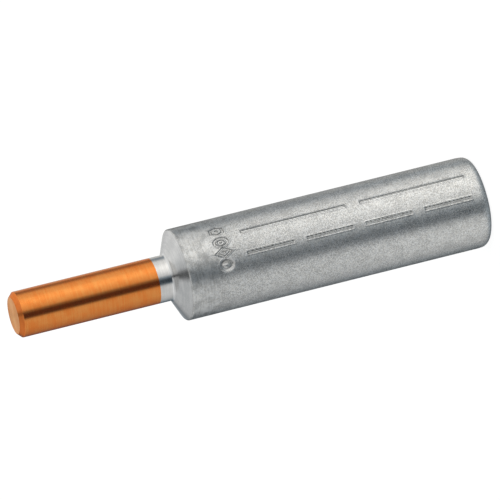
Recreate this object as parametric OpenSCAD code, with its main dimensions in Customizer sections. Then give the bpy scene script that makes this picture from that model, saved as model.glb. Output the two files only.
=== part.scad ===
// Bimetallic pin terminal for a stranded aluminium conductor of 50 square millimetres.
// The conductor is crimped in the aluminium barrel, and the solid copper pin goes into a
// clamp made for copper. The pin is friction-welded to the barrel's neck, face to face.
// It stands on the mouth of the barrel: the origin is the middle of the mouth, +Z points
// to the tip of the pin, and the guide marks for the crimping tool are on the -Y side.

/* [Barrel] */
// Outside diameter of the barrel
barrel_d = 16; // [14.5:0.5:20]
// Length of the barrel from its mouth to the start of the shoulder
barrel_len = 54.8; // [52:0.2:80]
// Radius that rounds the outside edge of the mouth
mouth_round = 1.4; // [0.4:0.1:2.2]
// Angle of the shoulder, measured from a flat step
shoulder_angle = 26; // [10:1:45]
// Length of the aluminium neck, from the shoulder to the weld
neck_len = 2.45; // [1.5:0.05:6]
// Radius of the fillet between the shoulder and the neck
neck_fillet = 0.5; // [0.2:0.1:1.2]

/* [Bore] */
// Diameter of the hole for the conductor
bore_d = 9.8; // [6:0.1:11]
// Depth that the bore goes on past the last guide mark
bore_margin = 2; // [0.5:0.5:4]
// Point angle of the drill that leaves the bottom of the bore
drill_angle = 118; // [90:2:150]
// Width of the chamfer inside the mouth
bore_chamfer = 0.5; // [0.2:0.1:1]

/* [Pin] */
// Diameter of the copper pin and of the neck turned with it
pin_d = 8; // [6:0.5:10]
// Length of the copper from the weld to the tip
pin_len = 25.2; // [15:0.2:40]
// Width of the chamfer at the tip
tip_chamfer = 0.75; // [0.2:0.05:2]

/* [Guide marks] */
// Distance from the mouth to the first mark of each row
marks_start = 3.1; // [2.5:0.1:6]
// Length of the crimp zone that each row of marks covers
marks_len = 40.9; // [30:0.1:44]
// Number of marks in the row for narrow dies
narrow_count = 4; // [2:1:6]
// Gap between two marks of the row for narrow dies
narrow_gap = 2.2; // [1:0.1:4]
// Place of the row for narrow dies, as an angle around the barrel from -Y
narrow_angle = 5.8; // [-20:0.2:20]
// Number of marks in the row for wide dies
wide_count = 2; // [1:1:3]
// Gap between two marks of the row for wide dies
wide_gap = 2.5; // [1:0.1:4]
// Place of the row for wide dies, as an angle around the barrel from -Y
wide_angle = 35.4; // [28:0.2:60]
// Width of a mark where it meets the surface
mark_w = 0.75; // [0.5:0.05:1.2]
// Depth of a mark
mark_depth = 0.18; // [0.08:0.01:0.3]
// Slope of a mark's sides and ends, measured from its floor
mark_slope = 50; // [45:5:75]

/* [Hidden] */
$fn = 96;

barrel_r = barrel_d / 2;
bore_r = bore_d / 2;
pin_r = pin_d / 2;

// Height at which the line of the shoulder meets the side of the neck
neck_z = barrel_len + (barrel_r - pin_r) * tan(shoulder_angle);
weld_z = neck_z + neck_len;

bore_depth = marks_start + marks_len + bore_margin;
drill_tip = bore_r / tan(drill_angle / 2);

narrow_len = (marks_len - (narrow_count - 1) * narrow_gap) / narrow_count;
wide_len = (marks_len - (wide_count - 1) * wide_gap) / wide_count;

// How far each cutter stands out of the surface that it cuts
over = 0.2;

// How far the fillet's circle cuts into the surfaces it joins, so that it meets each in one edge
bite = 0.001;

// Where the fillet between shoulder and neck starts on each of them, and its centre
fillet_reach = neck_fillet / tan(45 + shoulder_angle / 2);
fillet_centre = [pin_r + neck_fillet, neck_z + fillet_reach];
fillet_on_cone = fillet_centre - neck_fillet * [sin(shoulder_angle), cos(shoulder_angle)];
fillet_on_neck = [pin_r, fillet_centre.y];

// What the round takes off the profile's corner at the outside edge of the mouth
module mouth_corner() {
    translate([barrel_r - mouth_round, 0])
        difference() {
            translate([0, -over]) square([mouth_round + over, mouth_round + over]);
            translate([0, mouth_round]) circle(mouth_round);
        }
}

// Half section of the turned barrel, shoulder and neck, without its bore
module barrel_profile() {
    difference() {
        polygon([
            [0, 0], [barrel_r, 0], [barrel_r, barrel_len],
            fillet_on_cone, fillet_centre, fillet_on_neck,
            [pin_r, weld_z], [0, weld_z]
        ]);
        translate(fillet_centre) circle(neck_fillet + bite);
        mouth_corner();
    }
}

// Blind hole with the cone that the drill leaves and a chamfered mouth
module bore() {
    translate([0, 0, -over]) cylinder(r = bore_r, h = bore_depth + over);
    translate([0, 0, bore_depth]) cylinder(r1 = bore_r, r2 = 0, h = drill_tip);
    translate([0, 0, -over])
        cylinder(r1 = bore_r + bore_chamfer + over, r2 = bore_r, h = bore_chamfer + over);
}

// Cross-section of a mark's pocket, width w at the surface and narrower at its floor
module pocket_section(w) {
    wide = w / 2 + over / tan(mark_slope);
    narrow = w / 2 - mark_depth / tan(mark_slope);
    polygon([[-narrow, -mark_depth], [narrow, -mark_depth], [wide, over], [-wide, over]]);
}

// One guide mark: a shallow pocket with four sloped sides, centred on the surface
module guide_mark(len) {
    intersection() {
        rotate([0, 0, 180]) linear_extrude(2 * len, center = true) pocket_section(mark_w);
        rotate([0, -90, 180]) linear_extrude(2 * mark_w, center = true) pocket_section(len);
    }
}

// A row of guide marks, one for each bite of the crimping die
module mark_row(count, len, gap, angle) {
    for (i = [0 : count - 1])
        rotate([0, 0, angle])
            translate([0, -barrel_r, marks_start + len / 2 + i * (len + gap)])
                guide_mark(len);
}

module aluminium_barrel() {
    color([0.72, 0.73, 0.74])
        difference() {
            rotate_extrude() barrel_profile();
            bore();
            mark_row(narrow_count, narrow_len, narrow_gap, narrow_angle);
            mark_row(wide_count, wide_len, wide_gap, wide_angle);
        }
}

module copper_pin() {
    tip_r = pin_r - tip_chamfer;
    tip_z = pin_len - tip_chamfer;
    color([0.85, 0.50, 0.28])
        translate([0, 0, weld_z])
            rotate_extrude()
                polygon([[0, 0], [pin_r, 0], [pin_r, tip_z], [tip_r, pin_len], [0, pin_len]]);
}

aluminium_barrel();
copper_pin();
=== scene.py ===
"""Looks of the bimetallic pin terminal: a tumbled aluminium barrel with guide marks and a turned copper pin.

The part stands on the barrel's mouth, +Z is its axis, and the marks are on the -Y side, where the camera is.
Lengths are in millimetres and angles in degrees, until a mesh or an object is made. An angle around the
barrel is measured from -Y towards +X.
"""
import math

import bpy
import numpy as np
from mathutils import Matrix, Vector


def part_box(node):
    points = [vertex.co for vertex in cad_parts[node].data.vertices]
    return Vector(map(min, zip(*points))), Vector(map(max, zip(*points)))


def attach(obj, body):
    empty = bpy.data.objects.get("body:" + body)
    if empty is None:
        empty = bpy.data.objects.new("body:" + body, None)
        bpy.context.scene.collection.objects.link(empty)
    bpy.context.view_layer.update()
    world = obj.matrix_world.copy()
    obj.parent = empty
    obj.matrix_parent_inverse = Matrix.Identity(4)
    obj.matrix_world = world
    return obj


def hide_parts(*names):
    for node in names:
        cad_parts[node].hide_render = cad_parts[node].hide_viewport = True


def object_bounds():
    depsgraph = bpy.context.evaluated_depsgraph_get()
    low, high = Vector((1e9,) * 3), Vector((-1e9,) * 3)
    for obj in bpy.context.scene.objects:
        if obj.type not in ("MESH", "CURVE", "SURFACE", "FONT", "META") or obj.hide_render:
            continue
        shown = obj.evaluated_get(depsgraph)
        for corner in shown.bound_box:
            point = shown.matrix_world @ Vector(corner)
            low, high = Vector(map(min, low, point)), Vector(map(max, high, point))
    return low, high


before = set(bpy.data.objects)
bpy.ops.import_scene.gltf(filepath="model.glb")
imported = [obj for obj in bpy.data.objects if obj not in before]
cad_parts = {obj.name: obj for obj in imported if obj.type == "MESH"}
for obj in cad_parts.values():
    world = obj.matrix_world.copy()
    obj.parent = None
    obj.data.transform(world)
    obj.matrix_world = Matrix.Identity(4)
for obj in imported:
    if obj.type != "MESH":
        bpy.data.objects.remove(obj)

MM = 0.001

CAD_LOW, CAD_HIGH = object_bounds()
BARREL_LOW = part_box("aluminium_barrel")[0]
PIN_LOW, PIN_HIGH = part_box("copper_pin")

# Sizes that the frame gives
BARREL_R = round(-BARREL_LOW.y / MM, 2)
PIN_R = round(-PIN_LOW.y / MM, 2)
WELD_Z = PIN_LOW.z / MM
TIP_Z = PIN_HIGH.z / MM

# Sizes of the turned form, as in the part
SHOULDER_Z = 54.8
SHOULDER_ANGLE = 26.0
NECK_FILLET = 0.5
MOUTH_ROUND = 1.4
BORE_R = 4.9
BORE_MARGIN = 2.0
BORE_CHAMFER = 0.5
DRILL_ANGLE = 118.0
TIP_CHAMFER = 0.75
CHAMFER_ANGLE = 45.0

# Small rounds that a tool or the tumbling leaves on the edges
SHOULDER_EDGE = 0.3
TIP_EDGE = 0.12

# The side bends in gently before the mouth's round, which sits a little inside it and ends at this angle
# instead of 0. The side is straight from SIDE_START on.
MOUTH_INSET = 0.04
MOUTH_END = -8.0
SIDE_START = 2.0

# Two rows of rolled guide marks, for narrow and for wide dies, over the same length and as in the part:
# angle around the barrel, number of marks and gap between them. After these the depth at a mark's lower and
# upper edge, and the depth and the lean of the marking wheel's teeth in it.
MARKS_START = 3.1
MARKS_LEN = 40.9
NARROW_ROW = dict(angle=5.8, count=4, gap=2.2, lower=0.13, upper=0.2, tooth=0.11, lean=1.4)
WIDE_ROW = dict(angle=35.4, count=2, gap=2.5, lower=0.03, upper=0.17, tooth=0.04, lean=1.05)
BORE_DEPTH = MARKS_START + MARKS_LEN + BORE_MARGIN

# A mark's walls are steep at its upper edge and gentle at its lower one, and the slope changes over twice
# SLOPE_BLEND in its middle. Within CORNER_LEN of its ends a mark gets as deep as at its upper edge.
MARK_W = 0.75
UPPER_SLOPE = 54.0
LOWER_SLOPE = 38.0
SLOPE_BLEND = 0.12
CORNER_LEN = 0.4

# Distance between the wheel's teeth, and how far they make a mark narrower on each side
TOOTH_PITCH = 0.725
TOOTH_BITE = 0.03

# Height of the metal pushed up beside a mark and beside a sign, its width, and half the width over which it
# starts
LIP_H = 0.04
SIGN_LIP_H = 0.06
LIP_W = 0.12
LIP_START = 0.04

# Punched signs between the marks and the shoulder: a dimple, a rhombus, two rings and a hexagon
STAMP_Z = 47.9
DIMPLE_ANGLE = -2.0
RHOMBUS_ANGLE = 13.6
RINGS_ANGLE = 27.4
HEXAGON_ANGLE = 44.4

# The dimple's half width and half length, its mean radius, and the share of it that is its floor. Its pip
# stands off the middle, and falls from its top's radius to its foot's.
DIMPLE_DEPTH = 0.4
DIMPLE_HALF = (1.14, 1.36)
DIMPLE_R = 1.2
DIMPLE_FLOOR = 0.58
PIP_H = 0.38
PIP_OFFSET = (-0.16, 0.1)
PIP_TOP = 0.1
PIP_FOOT = 0.85
PIP_STRETCH = 1.3

# Half width and depth of a punched line, and the share of its width that is its floor
SIGN_STROKE = 0.19
SIGN_DEPTH = 0.16
STROKE_FLOOR = 0.4

# Middle lines of the signs: the direction square to a side of the rhombus and its inner radius, the radii of
# the rings and the inner radius of the hexagon. Rings and hexagon are longer than wide by the stretch. A dot
# is a small disc with the width of a line round it.
RHOMBUS_SQUARE = (0.86, 0.52)
RHOMBUS_R = 0.66
RING_RADII = (0.78, 0.28)
RING_STRETCH = 1.5
HEXAGON_R = 0.74
HEXAGON_STRETCH = 1.4
DOT_R = 0.1

# The side is slightly flattened along the marks. That comes in over the near angles and goes out over the
# far ones, and from FLAT_END on a share of it is lost over FLAT_RUN.
FLAT_DEPTH = 0.15
FLAT_NEAR = (-24.0, 13.0)
FLAT_FAR = (15.0, 64.0)
FLAT_END = 44.0
FLAT_RUN = 2.0
FLAT_LOSS = 0.55

# Painted shade: how much darker the metal is painted in the marks, at their deepest, on the signs' walls and
# deep in the dimple, and over which depths that comes in
MARK_FLOOR_SHADE = 0.09
FLOOR_DEPTHS = (0.0, 0.04)
MARK_DEEP_SHADE = 0.36
MARK_DEPTHS = (0.09, 0.16)
SIGN_SHADE = 0.35
DIMPLE_SHADE = 0.3
DIMPLE_DEPTHS = (0.15, DIMPLE_DEPTH)

# Heights of the side's rings, as first, end and step, where the marks and the signs are
MARKS_RINGS = (2.7, 44.4, 0.1)
SIGNS_RINGS = (46.0, 49.9, 0.045)

# First height and number of the rings from there to the shoulder, and their distance from its edge
LAST_RINGS_Z = 50.2
LAST_RINGS = 14
EDGE_GAP = 0.01

# Steps in the rounds of the mouth, the shoulder's edge, the neck's fillet and the tip's edges
MOUTH_STEPS = 12
SHOULDER_STEPS = 5
FILLET_STEPS = 6
TIP_STEPS = 4

# Angles between the points of a plain ring, and of a ring outside and inside its fine stretches
PLAIN_STEP = 3.0
COARSE_STEP = 5.0
FINE_STEP = 0.3
FLAT_STEP = 1.5

# Fine stretches: this far to both sides of a row of marks, across the signs and across the flattened side
ROW_REACH = 5.0
SIGNS_STRETCH = (-14.0, 54.0)
FLAT_STRETCH = (-20.0, 24.0)


def smooth(edge0, edge1, x):
    """Rises from 0 at edge0 to 1 at edge1 with no corner."""
    t = np.clip((x - edge0) / (edge1 - edge0), 0.0, 1.0)
    return t * t * (3.0 - 2.0 * t)


def lip(outside, height=LIP_H):
    """Low ridge of displaced metal at this distance outside an edge."""
    return height * np.exp(-((outside - LIP_W / 2) / LIP_W) ** 2) * smooth(-LIP_START, LIP_START, outside)


def mark_relief(across, along, length, row):
    """Height of the surface in and around one guide mark of this row, from the mark's middle."""
    phase = (along - row["lean"] * across) / TOOTH_PITCH
    tooth = 0.5 - 0.5 * np.cos(2.0 * math.pi * phase)
    side = MARK_W / 2 - np.abs(across) - TOOTH_BITE * tooth
    end = length / 2 - np.abs(along)
    inside = np.minimum(side, end)
    corner = smooth(CORNER_LEN, 0.0, end) * smooth(-MARK_W / 2, 0.0, across)
    share = np.maximum(smooth(0.0, MARK_W / 2, across), corner)
    deepest = row["lower"] + (row["upper"] - row["lower"]) * share
    slope = LOWER_SLOPE + (UPPER_SLOPE - LOWER_SLOPE) * smooth(-SLOPE_BLEND, SLOPE_BLEND, across)
    depth = np.clip(inside * np.tan(np.radians(slope)), 0.0, deepest)
    depth = depth - row["tooth"] * tooth * depth / deepest
    outside = np.hypot(np.maximum(-side, 0.0), np.maximum(-end, 0.0))
    return np.where(inside > 0.0, -depth, lip(outside))


def row_relief(angle, z, row):
    """Height of the surface for one row of guide marks."""
    length = (MARKS_LEN - (row["count"] - 1) * row["gap"]) / row["count"]
    across = np.radians(angle - row["angle"]) * BARREL_R
    height = 0.0
    for i in range(row["count"]):
        middle = MARKS_START + length / 2 + i * (length + row["gap"])
        height = height + mark_relief(across, z - middle, length, row)
    return height


def stroke(distance):
    """Height of a punched line at this distance from its middle line, with a raised lip on each side."""
    groove = -SIGN_DEPTH * (1.0 - smooth(SIGN_STROKE * STROKE_FLOOR, SIGN_STROKE, distance))
    return groove + lip(distance - SIGN_STROKE, SIGN_LIP_H)


def polygon_distance(u, v, sides, radius):
    """Distance from the outline of a regular polygon with this inner radius."""
    step = 2.0 * math.pi / sides
    a = np.arctan2(v, u)
    a = (a + step / 2) % step - step / 2
    return np.abs(np.hypot(u, v) * np.cos(a) - radius)


def dot_distance(u, v):
    """Distance from the small disc in a sign's middle."""
    return np.hypot(u, v) - DOT_R


def dimple_relief(angle, z):
    """Round pocket with a raised pip in its middle."""
    u = np.radians(angle - DIMPLE_ANGLE) * BARREL_R
    v = z - STAMP_Z
    rho = np.hypot(u / DIMPLE_HALF[0], v / DIMPLE_HALF[1])
    bowl = -DIMPLE_DEPTH * (1.0 - smooth(DIMPLE_FLOOR, 1.0, rho))
    off = np.hypot(u - PIP_OFFSET[0], (v - PIP_OFFSET[1]) / PIP_STRETCH)
    pip = PIP_H * (1.0 - smooth(PIP_TOP, PIP_FOOT, off))
    return bowl + pip + lip((rho - 1.0) * DIMPLE_R)


def rhombus_relief(angle, z):
    u = np.radians(angle - RHOMBUS_ANGLE) * BARREL_R
    v = z - STAMP_Z
    edge = np.abs(np.abs(u) * RHOMBUS_SQUARE[0] + np.abs(v) * RHOMBUS_SQUARE[1] - RHOMBUS_R)
    return stroke(np.minimum(edge, dot_distance(u, v)))


def rings_relief(angle, z):
    u = np.radians(angle - RINGS_ANGLE) * BARREL_R
    rho = np.hypot(u, (z - STAMP_Z) / RING_STRETCH)
    outer, inner = (np.abs(rho - radius) for radius in RING_RADII)
    return stroke(np.minimum(outer, inner))


def hexagon_relief(angle, z):
    u = np.radians(angle - HEXAGON_ANGLE) * BARREL_R
    v = z - STAMP_Z
    edge = polygon_distance(v / HEXAGON_STRETCH, u, 6, HEXAGON_R)
    return stroke(np.minimum(edge, dot_distance(u, v)))


def sign_relief(angle, z):
    """The three signs that are punched as lines."""
    return rhombus_relief(angle, z) + rings_relief(angle, z) + hexagon_relief(angle, z)


def flat_relief(angle, z):
    """The slight flattening along the marks."""
    across = smooth(*FLAT_NEAR, angle) * (1.0 - smooth(*FLAT_FAR, angle))
    return -FLAT_DEPTH * across * (1.0 - FLAT_LOSS * smooth(FLAT_END, FLAT_END + FLAT_RUN, z))


def marks_relief(angle, z):
    return row_relief(angle, z, NARROW_ROW) + row_relief(angle, z, WIDE_ROW)


def relief(angle, z):
    """Height of the barrel's side over its plain cylinder."""
    return marks_relief(angle, z) + sign_relief(angle, z) + dimple_relief(angle, z) + flat_relief(angle, z)


def wall(height, depth):
    """1 halfway down a pocket's wall, and 0 on its floor and outside it."""
    share = np.clip(-height / depth, 0.0, 1.0)
    return 4.0 * share * (1.0 - share)


def recess_shade(angle, z):
    """Painted shade: how much the barrel's side is darkened in the marks, the signs and the dimple, from 0
    to 1.
    """
    depth = -marks_relief(angle, z)
    marks = MARK_FLOOR_SHADE * smooth(*FLOOR_DEPTHS, depth) + MARK_DEEP_SHADE * smooth(*MARK_DEPTHS, depth)
    signs = SIGN_SHADE * wall(sign_relief(angle, z), SIGN_DEPTH)
    return marks + signs + DIMPLE_SHADE * smooth(*DIMPLE_DEPTHS, -dimple_relief(angle, z))


def angles(step, stretches=(), fine=FINE_STEP):
    """Angles of a ring's points, every step and finer within the stretches."""
    out = []
    a = -180.0
    for low, high in stretches:
        count = max(1, math.ceil((low - a) / step))
        out += list(np.linspace(a, low, count, endpoint=False))
        count = math.ceil((high - low) / fine)
        out += list(np.linspace(low, high, count, endpoint=False))
        a = high
    count = math.ceil((180.0 - a) / step)
    out += list(np.linspace(a, 180.0, count, endpoint=False))
    return np.array(out)


def beside(row):
    """Fine stretch along a row of marks."""
    return row["angle"] - ROW_REACH, row["angle"] + ROW_REACH


PLAIN_POINTS = angles(PLAIN_STEP)
MARKS_POINTS = angles(COARSE_STEP, (beside(NARROW_ROW), beside(WIDE_ROW)))
SIGNS_POINTS = angles(COARSE_STEP, (SIGNS_STRETCH,))
FLAT_POINTS = angles(PLAIN_STEP, (FLAT_STRETCH,), FLAT_STEP)


class Revolve:
    """Closed mesh of rings around Z, each with its own angles, and with a true normal at every corner. A
    ring keeps its angles, its points' numbers and its normals on the side of the ring before and after."""

    def __init__(self):
        self.points = []
        self.recess_shade = []
        self.faces = []
        self.normals = []
        self.slots = []
        self.last = None

    def ring(self, r, z, normal, where=PLAIN_POINTS, after=None, slot=0, recess_shade=0.0):
        """Adds a ring of radius r at height z. normal is (radial, axial) on the side of the
        last ring, and after is the same on the side of the next one, if there is an edge."""
        theta = np.radians(where)
        count = len(theta)
        radial = np.stack([np.sin(theta), -np.cos(theta), np.zeros(count)], 1)
        r = np.broadcast_to(r, count)
        first = len(self.points)
        self.points.extend(radial * r[:, None] + np.array([0.0, 0.0, z]))
        # Each point's share of painted shade in the recesses
        self.recess_shade.extend(np.broadcast_to(recess_shade, count))
        here = {"where": where, "ids": list(range(first, first + count))}
        here["before"] = self.spread(normal, radial, theta)
        here["after"] = here["before"] if after is None else self.spread(after, radial, theta)
        self.join(here, slot)

    def pole(self, z, up, slot=0):
        """Closes the mesh, or starts it, with one point on the axis. Its normal points along up."""
        normal = np.array([[0.0, 0.0, up]])
        here = {"where": None, "ids": [len(self.points)], "before": normal, "after": normal}
        self.points.append(np.array([0.0, 0.0, z]))
        self.recess_shade.append(0.0)
        self.join(here, slot)

    def arc(self, centre, radius, start, end, steps, raised=0.0, around=0.0, where=PLAIN_POINTS, slot=0):
        """Rings along an arc in the (radius, height) plane, hollow where radius is negative. Angles are
        from the +radial direction. raised is added to the rings' radius, and around is its slope."""
        outward = np.full(len(where), math.copysign(1.0, radius))
        for a in np.linspace(start, end, steps + 1):
            c = math.cos(math.radians(a))
            s = math.sin(math.radians(a))
            normal = np.stack([outward * c, outward * c * around, outward * s], 1)
            r = centre[0] + abs(radius) * c + raised
            self.ring(r, centre[1] + abs(radius) * s, normal, where, slot=slot)

    @staticmethod
    def spread(normal, radial, theta):
        """A (radial, axial) normal, or a (radial, around, axial) array of them, as vectors."""
        around = np.stack([np.cos(theta), np.sin(theta), np.zeros(len(theta))], 1)
        if isinstance(normal, tuple):
            normal = np.tile([normal[0], 0.0, normal[1]], (len(theta), 1))
        out = radial * normal[:, :1] + around * normal[:, 1:2]
        out[:, 2] = normal[:, 2]
        return out / np.linalg.norm(out, axis=1)[:, None]

    def face(self, corners, slot):
        """Adds a face. corners is a list of (ring, index, side), in order."""
        self.faces.append([ring["ids"][i] for ring, i, side in corners])
        self.normals.extend(ring[side][i] for ring, i, side in corners)
        self.slots.append(slot)

    def join(self, here, slot):
        """Joins the last ring to this one, and makes this one the last."""
        last = self.last
        self.last = here
        if last is None:
            return
        if last["where"] is None or here["where"] is None:
            self.fan(last, here, slot)
        elif last["where"] is here["where"]:
            self.quads(last, here, slot)
        else:
            self.triangles(last, here, slot)

    def fan(self, a, b, slot):
        """Joins a ring and a pole, whichever comes first."""
        closing = b["where"] is None
        ring, pole = (a, b) if closing else (b, a)
        ring_side, pole_side = ("after", "before") if closing else ("before", "after")
        count = len(ring["ids"])
        for i in range(count):
            corners = [(ring, i, ring_side), (ring, (i + 1) % count, ring_side), (pole, 0, pole_side)]
            self.face(corners if closing else corners[::-1], slot)

    def quads(self, a, b, slot):
        """Joins two rings with the same angles."""
        count = len(a["ids"])
        for i in range(count):
            j = (i + 1) % count
            self.face([(a, i, "after"), (a, j, "after"), (b, j, "before"), (b, i, "before")], slot)

    def triangles(self, a, b, slot):
        """Joins two rings with different angles."""
        a_turn = np.append(a["where"], 180.0)
        b_turn = np.append(b["where"], 180.0)
        a_count = len(a["ids"])
        b_count = len(b["ids"])
        i = j = 0
        while i < a_count or j < b_count:
            corners = [(a, i % a_count, "after"), (b, j % b_count, "before")]
            if j == b_count or (i < a_count and a_turn[i + 1] <= b_turn[j + 1]):
                i += 1
                corners.insert(1, (a, i % a_count, "after"))
            else:
                j += 1
                corners.insert(1, (b, j % b_count, "before"))
            self.face(corners, slot)

    def build(self, name, materials):
        """Makes the mesh and its object, in metres."""
        mesh = bpy.data.meshes.new(name)
        mesh.from_pydata([tuple(p * MM) for p in self.points], [], self.faces)
        for material in materials:
            mesh.materials.append(material)
        mesh.polygons.foreach_set("material_index", self.slots)
        mesh.polygons.foreach_set("use_smooth", [True] * len(self.faces))
        mesh.update()
        # Each point's share of painted shade, which darkens the tumbled aluminium in its recesses
        shade = mesh.attributes.new("recess_shade", "FLOAT", "POINT")
        shade.data.foreach_set("value", np.array(self.recess_shade, np.float32))
        mesh.normals_split_custom_set([tuple(n) for n in self.normals])
        piece = bpy.data.objects.new(name, mesh)
        bpy.context.scene.collection.objects.link(piece)
        return piece


# Material slots of the barrel and of the pin
TUMBLED, TURNED, FACED = range(3)
SIDE, END_GRAIN, CHAMFER = range(3)


def lean(height, where, z):
    """How far the normal leans around and along the axis, for this height over a cylinder."""
    eps = 0.01
    per_degree = (height(where + eps, z) - height(where - eps, z)) / (2 * eps)
    per_mm = (height(where, z + eps) - height(where, z - eps)) / (2 * eps)
    return -per_degree / math.radians(1.0) / BARREL_R, -per_mm


def side_ring(form, z, where):
    """One ring of the barrel's side, with the relief in its radius and its normals."""
    around, axial = lean(relief, where, z)
    normal = np.stack([np.ones(len(where)), around, axial], 1)
    form.ring(BARREL_R + relief(where, z), z, normal, where, slot=TUMBLED, recess_shade=recess_shade(where, z))


def flat_arc(form, centre, radius, start, end, steps, z):
    """Rounds an edge of the barrel, with the flattening that its side has at height z."""
    raised = flat_relief(FLAT_POINTS, z)
    around = lean(flat_relief, FLAT_POINTS, z)[0]
    form.arc(centre, radius, start, end, steps, raised, around, FLAT_POINTS, TUMBLED)


def bore(form):
    """Starts the barrel at the bottom of its blind bore and goes down to the mouth."""
    half = math.radians(DRILL_ANGLE / 2)
    form.pole(BORE_DEPTH + BORE_R / math.tan(half), -1.0)
    form.ring(BORE_R, BORE_DEPTH, (-math.cos(half), -math.sin(half)), after=(-1.0, 0.0), slot=TURNED)
    form.ring(BORE_R, BORE_CHAMFER, (-1.0, 0.0), after=(-1.0, -1.0), slot=TURNED)
    form.ring(BORE_R + BORE_CHAMFER, 0.0, (-1.0, -1.0), after=(0.0, -1.0), slot=TURNED)


def make_barrel():
    """Barrel, shoulder and neck in one closed mesh, from the bottom of the bore by the mouth to the weld."""
    form = Revolve()
    bore(form)
    centre = (BARREL_R - MOUTH_INSET - MOUTH_ROUND, MOUTH_ROUND)
    flat_arc(form, centre, MOUTH_ROUND, -90.0, MOUTH_END, MOUTH_STEPS, 0.0)

    slope = math.radians(SHOULDER_ANGLE)
    edge_z = SHOULDER_Z - SHOULDER_EDGE * math.tan((math.pi / 2 - slope) / 2)
    side_ring(form, SIDE_START, FLAT_POINTS)
    for z in np.arange(*MARKS_RINGS):
        side_ring(form, z, MARKS_POINTS)
    for z in np.arange(*SIGNS_RINGS):
        side_ring(form, z, SIGNS_POINTS)
    for z in np.linspace(LAST_RINGS_Z, edge_z - EDGE_GAP, LAST_RINGS):
        side_ring(form, z, FLAT_POINTS)
    centre = (BARREL_R - SHOULDER_EDGE, edge_z)
    flat_arc(form, centre, SHOULDER_EDGE, 0.0, 90.0 - SHOULDER_ANGLE, SHOULDER_STEPS, SHOULDER_Z)

    neck_z = SHOULDER_Z + (BARREL_R - PIN_R) * math.tan(slope)
    reach = NECK_FILLET / math.tan(math.radians(45.0 + SHOULDER_ANGLE / 2))
    centre = (PIN_R + NECK_FILLET, neck_z + reach)
    form.arc(centre, -NECK_FILLET, 270.0 - SHOULDER_ANGLE, 180.0, FILLET_STEPS, slot=FACED)
    form.ring(PIN_R, WELD_Z, (1.0, 0.0), after=(0.0, 1.0), slot=TURNED)
    form.pole(WELD_Z, 1.0, slot=TURNED)
    metals = [tumbled_aluminium(), turned_aluminium(), faced_aluminium()]
    return form.build("aluminium_barrel_marked", metals)


def make_pin():
    """Solid pin with a chamfered tip, its two edges broken by the tool."""
    form = Revolve()
    form.pole(WELD_Z, -1.0)
    form.ring(PIN_R, WELD_Z, (0.0, -1.0), after=(1.0, 0.0), slot=SIDE)
    reach = TIP_EDGE * math.tan(math.radians(CHAMFER_ANGLE / 2))
    centre = (PIN_R - TIP_EDGE, TIP_Z - TIP_CHAMFER - reach)
    form.arc(centre, TIP_EDGE, 0.0, CHAMFER_ANGLE, TIP_STEPS, slot=SIDE)
    centre = (PIN_R - TIP_CHAMFER - reach, TIP_Z - TIP_EDGE)
    form.arc(centre, TIP_EDGE, CHAMFER_ANGLE, 90.0, TIP_STEPS, slot=CHAMFER)
    form.pole(TIP_Z, 1.0, slot=END_GRAIN)
    metals = [turned_copper(), sawn_copper(), chamfered_copper()]
    return form.build("copper_pin_turned", metals)


class Nodes:
    """Short hand for building a node tree."""

    def __init__(self, tree):
        self.tree = tree

    def put(self, value, socket):
        """Links a value that is a socket, or sets it."""
        if isinstance(value, bpy.types.NodeSocket):
            self.tree.links.new(value, socket)
        else:
            socket.default_value = value

    def add(self, kind, settings=None, **inputs):
        """A node of this kind. inputs go to its sockets by name, or by number after an i."""
        node = self.tree.nodes.new(kind)
        for key, value in (settings or {}).items():
            setattr(node, key, value)
        for key, value in inputs.items():
            number = key[1:]
            self.put(value, node.inputs[int(number) if number.isdigit() else key.replace("_", " ")])
        return node

    def math(self, operation, a, b=0.0, c=0.0):
        return self.add("ShaderNodeMath", {"operation": operation}, i0=a, i1=b, i2=c).outputs[0]

    def multiply_add(self, value, factor, offset):
        return self.math("MULTIPLY_ADD", value, factor, offset)

    def multiply(self, vector, other):
        return self.add("ShaderNodeVectorMath", {"operation": "MULTIPLY"}, i0=vector, i1=other).outputs[0]

    def scale(self, vector, factor):
        return self.add("ShaderNodeVectorMath", {"operation": "SCALE"}, i0=vector, Scale=factor).outputs[0]

    def between(self, value, low, high, to_low=0.0, to_high=1.0):
        """Goes from to_low to to_high while the value goes from low to high, with no corner."""
        node = self.add("ShaderNodeMapRange", {"interpolation_type": "SMOOTHSTEP"})
        for i, part in enumerate((value, low, high, to_low, to_high)):
            self.put(part, node.inputs[i])
        return node.outputs[0]

    def ramp(self, value, stops):
        """Colour ramp; stops are (position, (r, g, b))."""
        node = self.add("ShaderNodeValToRGB", Fac=value)
        elements = node.color_ramp.elements
        while len(elements) > 1:
            elements.remove(elements[-1])
        elements[0].position = stops[0][0]
        elements[0].color = (*stops[0][1], 1.0)
        for position, colour in stops[1:]:
            elements.new(position).color = (*colour, 1.0)
        return node.outputs["Color"]

    def mix(self, factor, a, b):
        """Colour a where factor is 0, b where it is 1."""
        node = self.add("ShaderNodeMix", {"data_type": "RGBA"}, i0=factor)
        for i, colour in ((6, a), (7, b)):
            self.put((*colour, 1.0) if isinstance(colour, tuple) else colour, node.inputs[i])
        return node.outputs[2]

    def blend(self, a, b, share):
        """Two heights or tones added, with this share of the first."""
        return self.math("ADD", self.math("MULTIPLY", a, share), self.math("MULTIPLY", b, 1.0 - share))

    def noise(self, vector, scale, detail=0.0, roughness=0.5):
        node = self.add("ShaderNodeTexNoise", Vector=vector, Scale=scale, Detail=detail, Roughness=roughness)
        return node.outputs[0]


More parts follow.
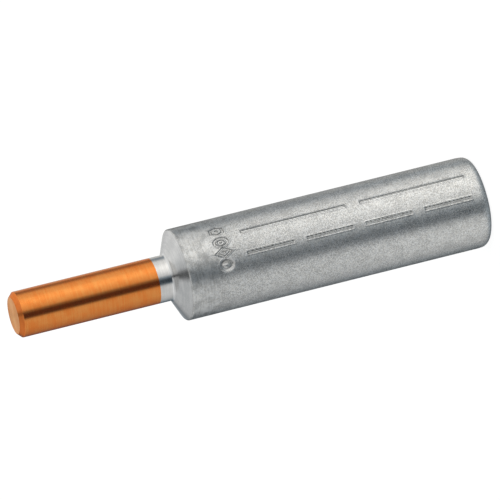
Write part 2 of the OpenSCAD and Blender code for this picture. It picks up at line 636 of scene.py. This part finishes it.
def new_material(name):
    """An empty material with its shader and output, and the object's own coordinates in millimetres."""
    material = bpy.data.materials.new(name)
    material.use_nodes = True
    tree = material.node_tree
    tree.nodes.clear()
    n = Nodes(tree)
    shader = n.add("ShaderNodeBsdfPrincipled")
    n.add("ShaderNodeOutputMaterial", Surface=shader.outputs[0])
    place = n.scale(n.add("ShaderNodeTexCoord").outputs["Object"], 1.0 / MM)
    return material, n, shader, place


def wire_metal(n, shader, colour, rough, height, strength, distance):
    """Wires a metal's colour, roughness and bump. distance is in millimetres."""
    bump = n.add("ShaderNodeBump", Strength=strength, Distance=distance * MM, Height=height)
    n.put(colour, shader.inputs["Base Color"])
    n.put(rough, shader.inputs["Roughness"])
    n.put(bump.outputs[0], shader.inputs["Normal"])
    shader.inputs["Metallic"].default_value = 1.0


# Tumbled aluminium's light tone at heights on the barrel up to TONE_LENGTH, how much darker its dark tone
# is, its slight changes of hue and its tint at a grazing angle
TONE_LENGTH = 60.0
LIGHT_TONES = ((0.0, (0.94, 0.935, 0.914)), (21.0, (0.9, 0.898, 0.885)), (57.0, (0.755, 0.755, 0.747)))
DARK_SHARE = 0.45
COOL_HUE = (0.988, 1.0, 1.012)
WARM_HUE = (1.004, 1.0, 0.99)
# Colour of the shade painted into the marks, the signs and the dimple
PAINTED_SHADE_COLOUR = (0.03, 0.03, 0.028)
TUMBLED_EDGE = (0.4, 0.4, 0.4)

# Heights between which the lathe's rings come in beside the shoulder, the scale of their pattern, fine along
# the axis, how much of the tumbled grain they replace, their strength in the tone and in the bump, and how
# much smoother they are
RINGS_ZONE = (47.5, 51.0)
RINGS_SCALE = (0.3, 0.3, 4.0)
RINGS_CALM = 0.75
RINGS_TONE = 0.3
RINGS_BUMP = 0.5
RINGS_POLISH = 0.03

# Strength of the specks and their share of the coarser noise, and strength of the blotches, which show more
# beside the shoulder
SPECK = 1.5
SPECK_COARSE = 0.33
BLOTCH = 0.38
BLOTCH_MORE = 0.2

# Stretches of a noise around its middle, over which the tone goes from dark to light, the hue from cool to
# warm and the roughness from rough to smooth
TONE_RANGE = (0.37, 0.63)
HUE_RANGE = (0.35, 0.65)
ROUGH_RANGE = (0.4, 0.6)

# Roughness towards the mouth and towards the shoulder, over these heights, how far it varies both ways, the
# depth of the grain and its share of the finer noise
ROUGH_ZONE = (-10.0, 65.0)
ROUGH_MOUTH = 0.34
ROUGH_SHOULDER = 0.41
ROUGH_GRAIN = 0.09
GRAIN_DEPTH = 0.0165
GRAIN_FINE = 0.75


def tumbled_aluminium():
    """Fine pitted grain and soft blotches, as tumbling leaves them. It is a little lighter towards the
    mouth, and the lathe's rings show beside the shoulder."""
    material, n, shader, place = new_material("tumbled_aluminium")
    along = n.add("ShaderNodeSeparateXYZ", Vector=place).outputs[2]
    near = n.between(along, *RINGS_ZONE)
    calm = n.multiply_add(near, -RINGS_CALM, 1.0)
    rings = n.noise(n.multiply(place, RINGS_SCALE), scale=1.0, detail=3.0, roughness=0.6)
    rings = n.math("MULTIPLY", n.math("SUBTRACT", rings, 0.5), near)

    coarse = n.noise(place, scale=3.2, detail=1.0, roughness=0.7)
    speck = n.blend(coarse, n.noise(place, scale=9.0), SPECK_COARSE)
    speck = n.math("MULTIPLY", n.math("SUBTRACT", speck, 0.5), n.math("MULTIPLY", calm, SPECK))
    blotch = n.math("SUBTRACT", n.noise(place, scale=0.5, detail=3.0, roughness=0.6), 0.5)
    blotch = n.math("MULTIPLY", blotch, n.multiply_add(near, BLOTCH_MORE, BLOTCH))
    tone = n.math("ADD", n.math("ADD", speck, blotch), n.multiply_add(rings, RINGS_TONE, 0.5))

    stops = [(z / TONE_LENGTH, colour) for z, colour in LIGHT_TONES]
    light = n.ramp(n.math("DIVIDE", along, TONE_LENGTH), stops)
    dark = n.mix(DARK_SHARE, light, (0.0, 0.0, 0.0))
    colour = n.mix(n.between(tone, *TONE_RANGE), dark, light)
    hue = n.mix(n.between(n.noise(place, scale=2.2, detail=1.0), *HUE_RANGE), COOL_HUE, WARM_HUE)
    # Painted shade: darker in the marks, the signs and the dimple, by the share that the mesh gives
    hollow = n.add("ShaderNodeAttribute", {"attribute_name": "recess_shade"}).outputs["Fac"]
    colour = n.mix(hollow, n.multiply(colour, hue), PAINTED_SHADE_COLOUR)

    rough = n.between(n.noise(place, scale=14.0), *ROUGH_RANGE, ROUGH_GRAIN, -ROUGH_GRAIN)
    rough = n.multiply_add(rough, calm, n.between(along, *ROUGH_ZONE, ROUGH_MOUTH, ROUGH_SHOULDER))
    rough = n.multiply_add(near, -RINGS_POLISH, rough)
    fine = n.noise(place, scale=5.5, detail=1.0, roughness=0.6)
    height = n.blend(fine, n.noise(place, scale=2.4, detail=2.0), GRAIN_FINE)
    height = n.multiply_add(height, calm, n.math("MULTIPLY", rings, RINGS_BUMP))
    wire_metal(n, shader, colour, rough, height, 1.0, GRAIN_DEPTH)
    shader.inputs["Specular Tint"].default_value = (*TUMBLED_EDGE, 1.0)
    return material


# Depth of a lathe tool's rings, the scale of their pattern across the axis, their share of the tone beside
# soft clouds, and the stretches of noise over which the tone and the roughness change. Then how far the
# roughness varies both ways, how strongly the metal is brushed around its axis, and a thin film on it.
TOOL_DEPTH = 0.02
TOOL_ACROSS = 0.15
TOOL_SHARE = 0.5
TOOL_RANGE = (0.36, 0.64)
CLOUD_RANGE = (0.35, 0.65)
ROUGH_CLOUD = 0.03
BRUSHED = 0.5
QUARTER_TURN = 0.25
FILM_COLOUR = (1.0, 0.08, 0.03)
FILM_ROUGH = 0.9


def turned_metal(name, dark, light, edge, rough, lines, line_bump, film=0.0):
    """Bare metal with the fine rings that a lathe tool leaves. edge is its tint at a grazing angle, lines
    how close the rings are, and film the weight of a thin red film."""
    material, n, shader, place = new_material(name)
    stretch = n.multiply(place, (TOOL_ACROSS, TOOL_ACROSS, lines))
    rings = n.noise(stretch, scale=1.0, detail=3.0, roughness=0.6)
    cloud = n.noise(place, scale=0.5, detail=2.0)
    colour = n.mix(n.between(n.blend(rings, cloud, TOOL_SHARE), *TOOL_RANGE), dark, light)
    rough = n.between(cloud, *CLOUD_RANGE, rough + ROUGH_CLOUD, rough - ROUGH_CLOUD)
    wire_metal(n, shader, colour, rough, rings, line_bump, TOOL_DEPTH)
    shader.inputs["Anisotropic"].default_value = BRUSHED
    shader.inputs["Anisotropic Rotation"].default_value = QUARTER_TURN
    shader.inputs["Specular Tint"].default_value = (*edge, 1.0)
    shader.inputs["Sheen Weight"].default_value = film
    shader.inputs["Sheen Roughness"].default_value = FILM_ROUGH
    shader.inputs["Sheen Tint"].default_value = (*FILM_COLOUR, 1.0)
    around = n.add("ShaderNodeTangent", {"direction_type": "RADIAL", "axis": "Z"})
    n.put(around.outputs[0], shader.inputs["Tangent"])
    return material


def turned_aluminium():
    """The bore, the neck and the face at the weld."""
    return turned_metal(
        "turned_aluminium", dark=(0.685, 0.678, 0.665), light=(0.8, 0.79, 0.78), edge=(0.8, 0.79, 0.78),
        rough=0.19, lines=7.0, line_bump=0.25,
    )


def faced_aluminium():
    """The cone of the shoulder and its fillet."""
    return turned_metal(
        "faced_aluminium", dark=(0.67, 0.675, 0.68), light=(0.79, 0.79, 0.79), edge=(0.8, 0.8, 0.8),
        rough=0.15, lines=7.0, line_bump=0.25,
    )


def turned_copper():
    """The pin's side, with a thin red film."""
    return turned_metal(
        "turned_copper", dark=(0.88, 0.28, 0.056), light=(0.9, 0.37, 0.095), edge=(0.76, 0.82, 0.76),
        rough=0.15, lines=5.0, line_bump=0.1, film=0.44,
    )


def sawn_copper():
    """The pin's tip, paler than its side."""
    return turned_metal(
        "sawn_copper", dark=(1.0, 0.5, 0.155), light=(1.0, 0.6, 0.21), edge=(1.0, 0.95, 0.85),
        rough=0.32, lines=3.0, line_bump=0.2, film=0.3,
    )


def chamfered_copper():
    """The chamfer at the tip."""
    return turned_metal(
        "chamfered_copper", dark=(0.78, 0.205, 0.045), light=(0.86, 0.245, 0.058), edge=(0.75, 0.66, 0.58),
        rough=0.32, lines=5.0, line_bump=0.2,
    )


# The floor: half its width, how far it lies under the part, its grey, and its glow for the camera alone
FLOOR_HALF = 6000.0
FLOOR_DROP = 0.02
FLOOR_GREY = 0.3
FLOOR_GLOW = 0.86
WHITE = (1.0, 1.0, 1.0)


def floor_paper():
    """Grey paper that looks white to the camera and keeps a soft shadow."""
    material = bpy.data.materials.new("floor_paper")
    material.use_nodes = True
    n = Nodes(material.node_tree)
    n.tree.nodes.clear()
    camera_ray = n.add("ShaderNodeLightPath").outputs["Is Camera Ray"]
    paper = n.add("ShaderNodeBsdfDiffuse", Color=(FLOOR_GREY, FLOOR_GREY, FLOOR_GREY, 1.0))
    strength = n.math("MULTIPLY", camera_ray, FLOOR_GLOW)
    glow = n.add("ShaderNodeEmission", Color=(*WHITE, 1.0), Strength=strength)
    both = n.add("ShaderNodeAddShader", i0=paper.outputs[0], i1=glow.outputs[0])
    n.add("ShaderNodeOutputMaterial", Surface=both.outputs[0])
    return material


def make_floor():
    """Pale floor, which the metals don't mirror."""
    mesh = bpy.data.meshes.new("floor")
    half = FLOOR_HALF * MM
    corners = [(-half, -half, 0), (half, -half, 0), (half, half, 0), (-half, half, 0)]
    mesh.from_pydata(corners, [], [(0, 1, 2, 3)])
    mesh.materials.append(floor_paper())
    floor = bpy.data.objects.new("floor", mesh)
    bpy.context.scene.collection.objects.link(floor)
    floor.location.z = CAD_LOW.z - FLOOR_DROP * MM
    floor.visible_glossy = False


# What stands round the part, by azimuth from -Y towards +X: a tall key box on the +X side, a weaker
# fill box on the -X side and dark gaps beside them. Each stop is (azimuth, brightness).
SIDE_LIGHT = (
    (-180, 0.74), (-174, 0.40), (-167, 0.15), (-154, 0.17), (-138, 0.35), (-120, 0.49), (-100, 0.57),
    (-80, 0.66), (-48, 0.69), (-37, 0.62), (-27, 0.12), (-21, 0.045), (-7, 0.05), (4, 0.27), (13, 0.68),
    (28, 0.92), (48, 1.19), (64, 1.16), (78, 0.93), (96, 0.80), (106, 0.58), (115, 0.32), (127, 0.29),
    (137, 0.54), (146, 0.79), (160, 0.78), (170, 0.74), (180, 0.82),
)
# Overhead, by the x part of the direction: the two boxes' tops and a narrow gap between them
TOP_LIGHT = (
    (-1.0, 0.68), (-0.6, 0.66), (-0.4, 0.56), (-0.13, 0.54), (-0.08, 0.34), (-0.055, 0.10), (0.01, 0.06),
    (0.04, 0.22), (0.08, 0.50), (0.2, 0.68), (0.3, 0.80), (0.36, 0.82), (0.6, 0.87), (1.0, 0.87),
)
# From below, in front of the part and behind it
UNDER_FRONT = 0.42
UNDER_BACK = 0.36

# A direction's parts go from -1 to 1. Over TOP_HEIGHTS the sides give way to what is overhead, which comes
# further down by TOP_SPREAD towards both boxes. Over UNDER_HEIGHTS they give way to what comes up from the
# front and, over UNDER_DEPTHS, from the back. It is dimmed to GAP_LEVEL in the middle, within GAP_HALF.
TOP_HEIGHTS = (0.2, 0.6)
TOP_SPREAD = 0.25
UNDER_HEIGHTS = (-0.32, -0.86)
UNDER_DEPTHS = (0.0, 0.6)
GAP_HALF = 0.5
GAP_LEVEL = 0.6

# How much brighter the key box and the fill box get over RISE_HEIGHTS, and where they come in by the x part
# of the direction. Over GREY_HEIGHTS the sides lose their colour down to GREY_SHARE.
KEY_RISE = 0.3
KEY_SIDE = (0.1, 0.5)
FILL_RISE = 0.95
FILL_SIDE = (-0.05, -0.3)
RISE_HEIGHTS = (-0.15, 0.3)
GREY_HEIGHTS = (-0.05, 0.3)
GREY_SHARE = 0.15

# How blue the gaps and the front's underside are. A grey's red, green and blue follow from its level by
# shares that change with how cool and how warm it is. Below COOL_START it turns plain again.
SIDE_BLUE = 1.3
UNDER_BLUE = 2.4
PLAIN_SHARES = (0.98, 1.0, 1.005)
COOL_SHARES = (-0.24, 0.0, 0.22)
WARM_SHARES = (0.03, 0.0, -0.035)
MIDDLE_GREY = 0.5
COOL_START = 0.05


def tint(level, blue):
    """Grey of this brightness, cool where it is fairly dark and a little warm where it is light."""
    cool = blue * max(MIDDLE_GREY - level, 0.0) / MIDDLE_GREY * smooth(0.0, COOL_START, level)
    warm = min(max((level - MIDDLE_GREY) / MIDDLE_GREY, 0.0), 1.0)
    shares = zip(PLAIN_SHARES, COOL_SHARES, WARM_SHARES)
    return tuple(level * (plain + colder * cool + warmer * warm) for plain, colder, warmer in shares)


def side_light(n, x, y, z):
    """The two boxes and the gaps round the part."""
    turn = n.multiply_add(n.math("ARCTAN2", x, n.math("MULTIPLY", y, -1.0)), 0.5 / math.pi, 0.5)
    stops = [((azimuth + 180.0) / 360.0, tint(level, SIDE_BLUE)) for azimuth, level in SIDE_LIGHT]
    side = n.ramp(turn, stops)
    key = n.between(x, *KEY_SIDE, 0.0, KEY_RISE)
    fill = n.between(x, *FILL_SIDE, 0.0, FILL_RISE)
    rise = n.multiply_add(n.between(z, *RISE_HEIGHTS), n.math("ADD", key, fill), 1.0)
    saturation = n.between(z, *GREY_HEIGHTS, 1.0, GREY_SHARE)
    side = n.add("ShaderNodeHueSaturation", Color=side, Saturation=saturation).outputs[0]
    return n.scale(side, rise)


def top_light(n, x):
    """The boxes' tops and the gap between them."""
    stops = [((part + 1.0) / 2.0, tint(level, 0.0)) for part, level in TOP_LIGHT]
    return n.ramp(n.multiply_add(x, 0.5, 0.5), stops)


def under_light(n, x, y):
    """What comes up from below."""
    under = n.mix(n.between(y, *UNDER_DEPTHS), tint(UNDER_FRONT, UNDER_BLUE), tint(UNDER_BACK, SIDE_BLUE))
    return n.scale(under, n.between(n.math("ABSOLUTE", x), 0.0, GAP_HALF, GAP_LEVEL, 1.0))


def make_world():
    """Studio light all round. The camera sees plain white instead."""
    world = bpy.data.worlds.new("studio")
    bpy.context.scene.world = world
    world.use_nodes = True
    n = Nodes(world.node_tree)
    n.tree.nodes.clear()
    direction = n.add("ShaderNodeTexCoord").outputs["Generated"]
    x, y, z = n.add("ShaderNodeSeparateXYZ", Vector=direction).outputs
    height = n.multiply_add(n.math("ABSOLUTE", x), TOP_SPREAD, z)
    light = n.mix(n.between(height, *TOP_HEIGHTS), side_light(n, x, y, z), top_light(n, x))
    light = n.mix(n.between(z, *UNDER_HEIGHTS), light, under_light(n, x, y))
    light = n.mix(n.add("ShaderNodeLightPath").outputs["Is Camera Ray"], light, WHITE)
    background = n.add("ShaderNodeBackground", Color=light, Strength=1.0)
    n.add("ShaderNodeOutputWorld", Surface=background.outputs[0])


# The photograph's camera: a long lens that looks down on the part, turned so that the pin points left and
# down. Its lens is in Blender's own millimetres.
CAMERA_AIM = Vector((1.17, 0.0, 41.33)) * MM
CAMERA_DISTANCE = 1544.3 * MM
CAMERA_DOWN = 15.05
CAMERA_ROLL = -103.91
CAMERA_LENS = 651.1


def make_camera():
    camera = bpy.data.objects.new("camera", bpy.data.cameras.new("camera"))
    bpy.context.scene.collection.objects.link(camera)
    camera.data.lens = CAMERA_LENS
    turn = Matrix.Rotation(math.radians(90.0 - CAMERA_DOWN), 4, "X")
    back = turn @ Vector((0.0, 0.0, 1.0))
    roll = Matrix.Rotation(math.radians(CAMERA_ROLL), 4, "Z")
    camera.matrix_world = Matrix.Translation(CAMERA_AIM + back * CAMERA_DISTANCE) @ turn @ roll
    bpy.context.scene.camera = camera


barrel = make_barrel()
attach(barrel, "root")
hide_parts("aluminium_barrel")

# The metals don't mirror the pin, because its image on the shoulder is far stronger than in the photograph
pin = make_pin()
pin.visible_glossy = False
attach(pin, "root")
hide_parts("copper_pin")

make_floor()
make_world()
make_camera()
bpy.context.scene.view_settings.view_transform = "Standard"
